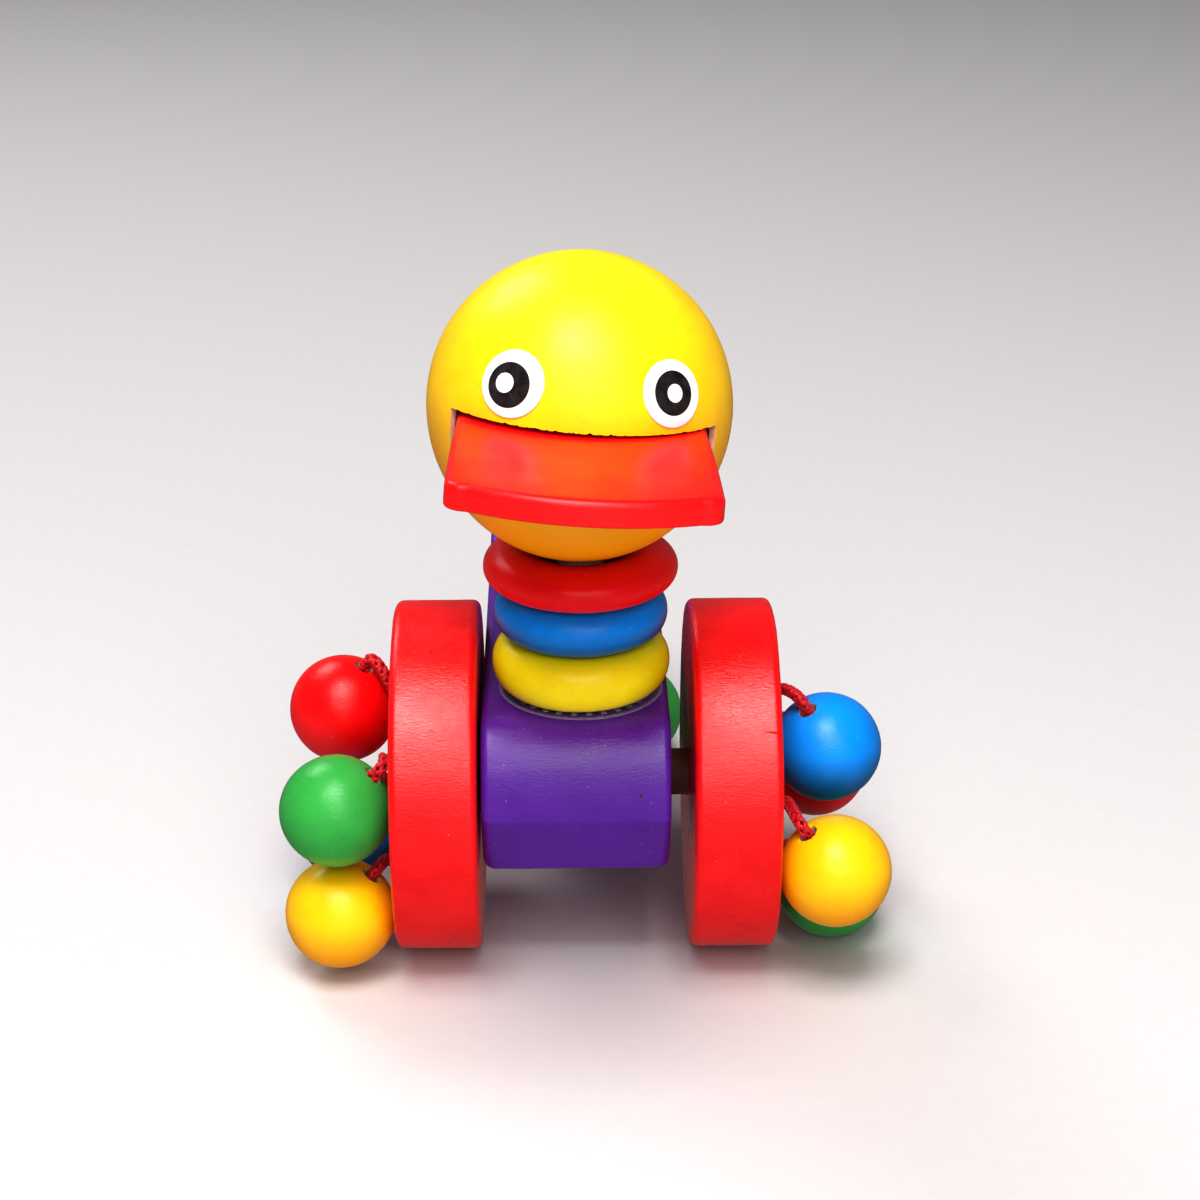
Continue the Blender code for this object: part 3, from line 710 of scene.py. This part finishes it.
def make_bead(node, body, colour, seed):
    """A turned ball with a blind hole whose lip is a little chipped; returns its pose."""
    centre, radius, direction = bead_pose(node)
    matrix = Matrix.Translation(centre) @ direction.to_track_quat("Z", "X").to_matrix().to_4x4()
    hole, depth = CORD_HOLE, 8.4 * MM
    rim = math.degrees(math.asin((hole + 0.12 * MM) / radius))
    ball = arc((0, 0), (radius, radius), 90 - rim, -90, 70)
    ball[-1] = (0, -radius)
    mouth = [(hole, ball[0][1] - 0.35 * MM), (hole + 0.05 * MM, ball[0][1] - 0.08 * MM)]
    inside = [(0, radius - depth), (hole, radius - depth), (hole, radius - depth * 0.6)] + mouth
    turn = len(inside) - 1
    bead = turned(node + "_painted", inside + ball, 110, matrix, [PAINT[colour], wood_raw],
                  slot_of=lambda i: int(i < turn))
    inverse = matrix.inverted()
    for vertex in bead.data.vertices:
        local = inverse @ vertex.co
        if local.z > radius * 0.93 and local.xy.length > hole * 0.9:
            near = math.exp(-((local.xy.length - hole) / (0.30 * MM)) ** 2)
            bite = max(0.0, noise.noise(local * 1500 + Vector((seed * 7.1, 0, 0))) + 0.1)
            local.z -= 0.38 * MM * near * bite
            vertex.co = matrix @ local
    bead.data.update()

    def on_shell(point):
        return 1.0 if (point - centre).length > radius * 0.97 else 0.0

    ripple(bead, 0.07 * MM, (0.0065, 0.0065, 0.0065), seed * 3.3, on_shell)
    ripple(bead, 0.018 * MM, (0.0016, 0.0016, 0.0012), seed * 5.1, on_shell)
    settle(bead, body, [node])
    return centre, radius, direction


def make_cord(node, body, hole, side, bead, seed):
    """A round braid of three yarns each way, from inside the wheel into the bead."""
    centre, radius, direction = bead
    leave = hole + Vector((side * 1.3 * MM, 0, 0))
    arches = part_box(node)[1].z - hole.z > 4.5 * MM
    rise = 1.8 * MM if arches else 0.5 * MM
    handle = leave + Vector((side * 0.8 * MM, 0, rise))
    above = centre + direction * (radius + 0.5 * MM)
    approach = centre + direction * (radius + 3.8 * MM)
    bend = list(interpolate_bezier(leave, handle, approach, above, 40))
    start = hole - Vector((side * 4.8 * MM, 0, 0))
    inside = centre + direction * (radius - 7.0 * MM)
    coarse = [start.lerp(leave, t) for t in np.linspace(0, 1, 12)[:-1]] + bend
    coarse += [above.lerp(inside, t) for t in np.linspace(0, 1, 14)[1:]]
    spacing = 0.14 * MM
    path = even_path(coarse, spacing)
    count = len(path)
    tangents = []
    for i in range(count):
        before, after = path[max(i - 1, 0)], path[min(i + 1, count - 1)]
        tangents.append((after - before).normalized())
    across = [tangents[0].orthogonal().normalized()]
    for i in range(1, count):
        turn = tangents[i - 1].rotation_difference(tangents[i])
        across.append((turn @ across[-1]).normalized())
    pitch, strands, lie, yarn = 5.0 * MM, 3, 0.74 * MM, (0.46 * MM, 0.26 * MM)
    sides = 8
    verts, faces = [], []
    for way in (1, -1):
        for strand in range(strands):
            phase = 2 * math.pi * strand / strands + seed
            rings = []
            for i in range(count):
                travelled = i * spacing
                angle = way * 2 * math.pi * travelled / pitch + phase
                weave = math.cos(2 * strands * math.pi * travelled / pitch + way * math.pi / 2)
                u, v = across[i], tangents[i].cross(across[i])
                out = u * math.cos(angle) + v * math.sin(angle)
                round_way = v * math.cos(angle) - u * math.sin(angle)
                middle = path[i] + out * (lie + 0.17 * MM * weave)
                run = (tangents[i] * pitch / (2 * math.pi) + round_way * way * lie).normalized()
                broad = out.cross(run).normalized()
                rings.append(len(verts))
                for k in range(sides):
                    a = 2 * math.pi * k / sides
                    flat, full = yarn[0] * math.cos(a), yarn[1] * math.sin(a)
                    verts.append(middle + broad * flat + out * full)
            for first, second in zip(rings[:-1], rings[1:]):
                for k in range(sides):
                    following = (k + 1) % sides
                    faces.append((first + k, first + following, second + following, second + k))
            faces.append(tuple(reversed(range(rings[0], rings[0] + sides))))
            faces.append(tuple(range(rings[-1], rings[-1] + sides)))
    cord = new_piece(node + "_braid", verts, faces, [cord_fibre])
    settle(cord, body, [node], sharp=80)


def even_path(points, spacing):
    """Points at one spacing along a line of points."""
    array = np.array([tuple(p) for p in points])
    steps = np.r_[0, np.cumsum(np.linalg.norm(np.diff(array, axis=0), axis=1))]
    places = np.arange(0, steps[-1], spacing)
    return [Vector([np.interp(t, steps, array[:, k]) for k in range(3)]) for t in places]


def make_beads():
    """Four beads on cords on each wheel; the seed keeps their surfaces different."""
    seed = 0
    for side_name, side in (("left", -1), ("right", 1)):
        for colour in ("red", "green", "yellow", "blue"):
            seed += 1
            body = f"{side_name}_{colour}_bead"
            hole = Vector(JOINTS[body + "_swing"]["pos_m"])
            bead = make_bead(f"bead_{side_name}_{colour}", body, colour, seed)
            make_cord(f"cord_{side_name}_{colour}", body, hole, side, bead, seed)


# ---------------------------------------------------------------- neck


def make_rings():
    """The loose turned rings, each a rounded section spun round the neck."""
    hole, fullness, count = 6.0 * MM, 2.1, 72
    for colour, paint in (("yellow", paint_ring), ("blue", paint_blue), ("red", paint_red)):
        name = "ring_" + colour
        low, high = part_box(name)
        outer, half_height = (high.x - low.x) / 2, (high.z - low.z) / 2
        middle, half = (outer + hole) / 2, (outer - hole) / 2
        profile = []
        for i in range(count):
            angle = math.radians(90 - 360 * i / count)
            c, s = math.cos(angle), math.sin(angle)
            profile.append((middle + half * math.copysign(abs(c) ** (2 / fullness), c),
                            half_height * math.copysign(abs(s) ** (2 / fullness), s)))
        ring = turned(name + "_painted", profile, 180, Matrix.Translation(centre_of(name)),
                      [paint], closed=True)
        ripple(ring, 0.07 * MM, (0.010, 0.010, 0.006), len(name) * 2.0)
        ripple(ring, 0.02 * MM, (0.002, 0.002, 0.0012), len(name) * 4.0)
        settle(ring, name, [name])


def make_washer():
    """A clear film disc with a moulded edge and a circle of small raised ticks."""
    low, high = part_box("neck_washer")
    radius, half, bore = (high.x - low.x) / 2, (high.z - low.z) / 2, DOWEL_BORE
    place = Matrix.Translation(centre_of("neck_washer"))
    lip = 0.55 * MM
    profile = [(bore, half * 0.5), (radius - lip * 1.6, half * 0.5), (radius - lip, half * 1.9)]
    profile += arc((radius - lip * 0.5, half * 0.9), (lip * 0.5, half * 1.1), 90, -60, 8)
    profile += [(radius - lip, -half), (bore, -half)]
    # the lip's faces take the more opaque film, which paints its pale highlight
    washer = turned("neck_washer_film", profile, 160, place, [film, film_edge], closed=True,
                    slot_of=lambda i: int(2 <= i < len(profile) - 2))
    settle(washer, "body", ["neck_washer"])
    verts, faces = [], []
    count, inner, outer, width = 30, radius - 3.0 * MM, radius - 1.7 * MM, 0.9 * MM
    for k in range(count):
        angle = 2 * math.pi * k / count
        along = Vector((-math.sin(angle), math.cos(angle), 0))
        out = Vector((math.cos(angle), math.sin(angle), 0))
        start = len(verts)
        for z in (half * 0.55, half * 2.0):
            for r, w in ((inner, -0.5), (inner, 0.5), (outer, 0.5), (outer, -0.5)):
                verts.append(place @ (out * r + along * width * w + Vector((0, 0, z))))
        sides = [(3, 2, 1, 0), (4, 5, 6, 7), (0, 1, 5, 4), (1, 2, 6, 5), (2, 3, 7, 6), (3, 0, 4, 7)]
        faces += [tuple(start + i for i in side) for side in sides]
    ticks = new_piece("neck_washer_ticks", verts, faces, [film_edge])
    settle(ticks, "body")


# ---------------------------------------------------------------- head


def mouth_cutter(radius):
    """The saw slot's shape, splayed at its ends, with torn fibres along its upper front edge."""
    count, deep = 230, 9
    rng = random.Random(5)
    tears = []
    place = -MOUTH_HALF_WIDTH + 1.2 * MM
    while place < MOUTH_HALF_WIDTH - 1.0 * MM:
        tears.append((place, rng.uniform(0.10, 0.42) * MM, rng.uniform(0.05, 0.26) * MM))
        place += rng.expovariate(1 / (0.9 * MM)) + 0.25 * MM
    xs = np.linspace(-MOUTH_HALF_WIDTH, MOUTH_HALF_WIDTH, count)
    front = -radius - 4 * MM
    end_y = -math.sqrt(radius ** 2 - MOUTH_HALF_WIDTH ** 2)

    def splayed(x, y, z):
        inwards = min(1.0, max(0.0, (y - end_y) / (1.3 * MM)))
        return FACE @ Vector((x * (1.014 - 0.050 * inwards), y, z))

    verts = []
    for x in xs:
        surface = -math.sqrt(radius ** 2 - x ** 2 - MOUTH_TOP ** 2)
        rise = sum(h * max(0.0, 1 - abs(x - at) / w) for at, w, h in tears)
        depths = [front, surface - 0.4 * MM, surface, surface + 0.25 * MM, surface + 0.5 * MM,
                  surface + 0.8 * MM, surface + 1.3 * MM, surface + 1.8 * MM, MOUTH_BACK]
        for y in depths:
            fade = min(1.0, max(0.0, (surface + 0.9 * MM - y) / (0.9 * MM)))
            verts.append(splayed(x, y, MOUTH_TOP + rise * fade))
        verts += [splayed(x, y, MOUTH_BOTTOM) for y in reversed(depths)]
    width = 2 * deep
    faces = grid_faces(count, width, wrap_columns=True)
    for start in (0, (count - 1) * width):
        for j in range(deep - 1):
            faces.append((start + j, start + j + 1, start + width - 2 - j, start + width - 1 - j))
    cutter = new_piece("mouth_cutter", verts, faces, [wood_raw])
    face_outwards(cutter)
    return cutter


def head_radius():
    """The ball's true radius, which the faceted CAD ball falls a little short of."""
    low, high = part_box("head_ball")
    return (high.y - low.y) / 2 * 1.004


def make_head():
    """The turned head, a touch deeper below its middle, sawn for the beak and bored for the dowel."""
    radius = head_radius()
    low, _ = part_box("head_ball")
    deep = NECK.z - low.z
    ball = arc((0, 0), (radius, radius), 90, 0, 90)
    ball += arc((0, 0), (radius, deep), 0, -90, 90)[1:]
    ball[0], ball[-1] = (0, radius), (0, -deep)
    head = turned("head_ball_painted", ball, 240, Matrix.Translation(NECK), [paint_head, wood_raw])
    ripple(head, 0.05 * MM, (0.012, 0.012, 0.009), 60.0)
    bore_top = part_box("neck_dowel")[1].z + 0.3 * MM
    bottom = NECK.z - deep
    upwards = Matrix.Translation((NECK.x, NECK.y, bottom)) @ Matrix.Rotation(math.pi, 4, "X")
    bore = reamer("head_bore", upwards, DOWEL_BORE, bore_top - bottom, wood_raw, steps=64)
    carve(head, mouth_cutter(radius), bore)
    settle(head, "head", ["head_ball"], sharp=30)


def beak_plan():
    """The beak's plan in the face's axes as (x, y) from the root round to the root again."""
    radius = head_radius()
    reach, bow, corner = 34 * MM, 4.4 * MM, 3.0 * MM
    front_y = -radius - reach
    corner_y = front_y + bow
    root, waist, front = 19.6 * MM, 19.95 * MM, 20.2 * MM
    root_y = -9.4 * MM
    side = interpolate_bezier(Vector((root, -18 * MM)), Vector((waist, -26 * MM)),
                              Vector((front, -36 * MM)), Vector((front, corner_y + corner)), 44)
    straight = [(root, y) for y in np.linspace(root_y, -17.5 * MM, 10)]
    turn = arc((front - corner, corner_y + corner), (corner, corner), 0, -75, 14)[1:]
    bow_x = front - corner
    end_y = turn[-1][1]
    curve = [(bow_x * t, front_y + (end_y - front_y) * t * t)
             for t in np.linspace(0.985, 0, 56, endpoint=False)]
    half = straight + [tuple(p) for p in side] + turn + curve
    back = [(x, root_y) for x in np.linspace(-root, root, 30)[1:-1]]
    return half + [(0, front_y)] + [(-x, y) for x, y in reversed(half)] + back


def make_beak():
    """The flat beak: its plan carried down over rounded upper and lower edges, with saw streaks."""
    thickness, over, under = 4.1 * MM, 1.15 * MM, 0.6 * MM
    pivot = Vector((-0.25 * MM, -14 * MM, 0.65 * MM))
    seat = Matrix.Translation(pivot)
    for degrees, axis in ((-2.1, "Z"), (-0.9, "Y"), (0.5, "X")):
        seat = seat @ Matrix.Rotation(math.radians(degrees), 4, axis)
    seat = seat @ Matrix.Translation((0, -pivot.y, 0))
    plan = np.array(beak_plan())
    ahead = np.roll(plan, -1, 0) - np.roll(plan, 1, 0)
    ahead /= np.linalg.norm(ahead, axis=1)[:, None]
    outward = np.stack([-ahead[:, 1], ahead[:, 0]], 1)
    if (outward * plan).sum() < -(outward * plan).sum():
        outward = -outward
    top = [(over * (1 - math.sin(a)), -over * (1 - math.cos(a)))
           for a in np.radians(np.linspace(0, 90, 8))]
    wall = [(0.0, z) for z in np.linspace(-over, under - thickness, 14)[1:-1]]
    bottom = [(under * (1 - math.cos(a)), under - thickness - under * math.sin(a))
              for a in np.radians(np.linspace(0, 90, 6))]
    section = top + wall + bottom
    matrix = FACE @ seat
    verts = []
    for point, normal in zip(plan, outward):
        for inset, z in section:
            x, y = point - normal * inset
            face_on = -normal[1]
            streak = noise.noise(Vector((x / (6 * MM), 3.0, z / (0.42 * MM))))
            streak += 0.6 * noise.noise(Vector((x / (2 * MM), 9.0, z / (0.2 * MM))))
            on_edge = -thickness * 0.93 < z < -0.5 * MM
            push = 0.055 * MM * streak * max(0.0, face_on) if on_edge else 0.0
            verts.append(matrix @ Vector((x + normal[0] * push, y + normal[1] * push, z)))
    rows, width = len(plan), len(section)
    faces = grid_faces(rows, width, wrap_rows=True)
    faces.append(tuple(i * width for i in range(rows)))
    faces.append(tuple(i * width + width - 1 for i in reversed(range(rows))))
    beak = new_piece("beak_painted", verts, faces, [paint_beak])
    face_outwards(beak)
    settle(beak, "head", ["beak"])


def make_eye(node, side):
    """A domed round sticker with an off-centre print and one crease where it was pressed on."""
    radius = head_radius() + 0.06 * MM
    look = (Vector(node_points(node).mean(0)) - NECK).normalized()
    upright = (FACE.to_3x3() @ Vector((0, 0, 1))).normalized()
    up = (upright - look * upright.dot(look)).normalized()
    right = up.cross(look).normalized()
    white = 5.3 * MM
    if side < 0:
        black, black_at = 3.55 * MM, Vector((-0.45, -0.30)) * MM
        pupil, pupil_at = 1.55 * MM, Vector((-1.15, -0.10)) * MM
        crease = Vector((0.62, -0.78))
    else:
        black, black_at = 3.50 * MM, Vector((0.12, 0.05)) * MM
        pupil, pupil_at = 1.45 * MM, Vector((0.30, 0.0)) * MM
        crease = Vector((0.60, 0.80))
    shares = np.linspace(0, 1, 11)[1:]
    centre = Vector((0, 0))
    bands = [(pupil_at, pupil * t, 0) for t in (0.0, *shares)]
    bands += [(pupil_at.lerp(black_at, t), pupil + (black - pupil) * t, 1) for t in shares]
    bands += [(black_at.lerp(centre, t), black + (white - black) * t, 0) for t in shares]
    steps, lift, skin = 220, 0.14 * MM, 0.10 * MM

    def spot(x, y, height):
        """A point of the sticker on the ball, from flat offsets in its own plane."""
        reach = math.hypot(x, y)
        if reach < 1e-9:
            return NECK + look * (radius + height)
        angle = reach / radius
        aside = (right * x + up * y) / reach
        return NECK + (look * math.cos(angle) + aside * math.sin(angle)) * (radius + height)

    across = Vector((-crease.y, crease.x))
    verts, slots, faces = [], [], []
    for at, r, _ in bands:
        for k in range(steps):
            a = 2 * math.pi * k / steps
            x, y = at.x + r * math.cos(a), at.y + r * math.sin(a)
            off = x * across.x + y * across.y - (pupil_at.dot(across))
            fades = min(1.0, max(0.0, (3.6 * MM - math.hypot(x, y)) / MM))
            fold = 0.07 * MM * math.exp(-(off / (0.13 * MM)) ** 2) * fades
            verts.append(spot(x, y, lift + fold))
    for height, grow in ((lift * 0.6, 0.05 * MM), (-skin, 0.06 * MM)):
        for k in range(steps):
            a = 2 * math.pi * k / steps
            verts.append(spot((white + grow) * math.cos(a), (white + grow) * math.sin(a), height))
    total = len(bands) + 2
    for i in range(total - 1):
        kind = bands[i + 1][2] if i + 1 < len(bands) else 0
        for k in range(steps):
            following = (k + 1) % steps
            inner, outer = i * steps, (i + 1) * steps
            faces.append((inner + k, outer + k, outer + following, inner + following))
            slots.append(kind)
    faces.append(tuple((total - 1) * steps + k for k in reversed(range(steps))))
    slots.append(0)
    eye = new_piece(node + "_sticker", verts, faces, [eye_white, eye_black], slots)
    face_outwards(eye, merge=1e-7)
    settle(eye, "head", [node], sharp=50)


# ---------------------------------------------------------------- stage


def make_floor():
    """A plain pale floor that shows in no reflection."""
    n = Nodes("pale_floor")
    grain = n.noise((3.0, 3.0, 3.0), detail=2.0)
    shade = n.mix(grain, (0.62, 0.605, 0.61), (0.65, 0.635, 0.64))
    material = n.finish(base_color=shade, roughness=0.7)
    size = 6.0
    corners = [(-size, -size, 0), (size, -size, 0), (size, size, 0), (-size, size, 0)]
    floor = new_piece("floor", corners, [(0, 1, 2, 3)], [material])
    floor.visible_glossy = False


def make_lamp(name, place, aim, size, power, colour=(1, 1, 1)):
    """A square soft lamp at a place, turned towards its aim."""
    light = bpy.data.lights.new(name, "AREA")
    light.size = size
    light.energy = power
    light.color = colour
    lamp = bpy.data.objects.new(name, light)
    bpy.context.scene.collection.objects.link(lamp)
    lamp.location = place
    lamp.rotation_euler = (Vector(aim) - Vector(place)).to_track_quat("-Z", "Y").to_euler()


def make_stage():
    """Floor, dim surround and four soft lamps: high front, lower front, back and low fill."""
    make_floor()
    world = bpy.data.worlds.new("studio")
    bpy.context.scene.world = world
    world.use_nodes = True
    background = world.node_tree.nodes["Background"]
    background.inputs["Color"].default_value = (1.0, 0.97, 0.97, 1.0)
    background.inputs["Strength"].default_value = 0.20
    middle = Vector((0, 0, 0.06))
    make_lamp("key", (-0.05, -0.40, 1.00), middle, 0.50, 10.5, (1.0, 0.99, 0.97))
    make_lamp("front", (0.05, -0.78, 0.78), middle, 0.80, 7.0)
    make_lamp("back", (-0.50, 0.65, 0.85), middle, 0.45, 4.5)
    make_lamp("fill", (0.20, -1.0, 0.40), middle, 0.9, 2.0)
    bpy.context.scene.view_settings.view_transform = "Standard"
    bpy.context.scene.view_settings.gamma = 0.80


def make_camera():
    """The camera, aimed by its own pitch, yaw and roll from a place given from the axle."""
    data = bpy.data.cameras.new("camera")
    data.sensor_width = 36.0
    data.lens = CAMERA_LENS_MM
    data.clip_start = 0.01
    camera = bpy.data.objects.new("camera", data)
    bpy.context.scene.collection.objects.link(camera)
    aim = Vector((math.sin(CAMERA_YAW) * math.cos(CAMERA_PITCH),
                  math.cos(CAMERA_YAW) * math.cos(CAMERA_PITCH), -math.sin(CAMERA_PITCH)))
    right = aim.cross(Vector((0, 0, 1))).normalized()
    up = right.cross(aim)
    turned_right = right * math.cos(CAMERA_ROLL) + up * math.sin(CAMERA_ROLL)
    turned_up = up * math.cos(CAMERA_ROLL) - right * math.sin(CAMERA_ROLL)
    matrix = Matrix((turned_right, turned_up, -aim)).transposed().to_4x4()
    ahead_of_axle = AXLE.y + CAMERA_FROM_AXLE.y
    matrix.translation = Vector((CAMERA_FROM_AXLE.x, ahead_of_axle, CAMERA_FROM_AXLE.z))
    camera.matrix_world = matrix
    bpy.context.scene.camera = camera


def paint_kept_nodes():
    """The keel keeps its CAD shape and gets the finished paint."""
    keel = frame["nodes"]["rear_keel"]
    keel.data.materials.clear()
    keel.data.materials.append(paint_keel)


make_body()
make_wheel("left", -1)
make_wheel("right", 1)
make_rod("front_axle", "x", "front_wheels", wood_axle)
make_rod("rear_axle", "x", "rear_balls", wood_axle, chamfer=0.3 * MM)
make_rod("neck_dowel", "z", "head", wood_raw)
make_rear_balls()
make_beads()
make_rings()
make_washer()
make_head()
make_beak()
make_eye("eye_left", -1)
make_eye("eye_right", 1)
paint_kept_nodes()
make_stage()
make_camera()
